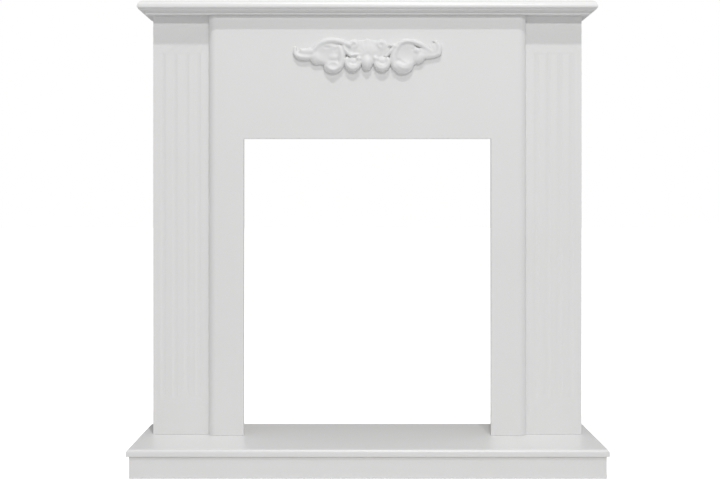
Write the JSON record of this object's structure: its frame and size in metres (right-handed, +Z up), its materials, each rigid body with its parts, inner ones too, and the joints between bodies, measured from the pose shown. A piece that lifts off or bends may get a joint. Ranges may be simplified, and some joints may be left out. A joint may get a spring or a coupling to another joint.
{
  "type": "fireplace surround",
  "caption": "White painted fireplace surround with a moulded mantel shelf, fluted pilasters, a scroll ornament over the fire opening and a raised hearth.",
  "frame": {"origin": "middle of the footprint at floor level", "axes": "+X to the right seen from the front, +Y back to the wall, +Z up; the front looks along -Y"},
  "size_m": [0.925, 0.335, 0.933],
  "materials": {
    "painted_board": "satin white paint on fibreboard",
    "painted_ornament": "satin white paint on a cast moulding"
  },
  "bodies": {
    "root": {"plinth_front": "painted_board", "plinth_back": "painted_board", "plinth_left": "painted_board", "plinth_right": "painted_board", "hearth_slab": "painted_board", "front_panel": "painted_board", "pilaster_left": "painted_board", "pilaster_right": "painted_board", "side_panel_left": "painted_board", "side_panel_right": "painted_board", "cornice_board": "painted_board", "shelf_board": "painted_board", "carved_ornament": "painted_ornament"}
  },
  "joints": []
}
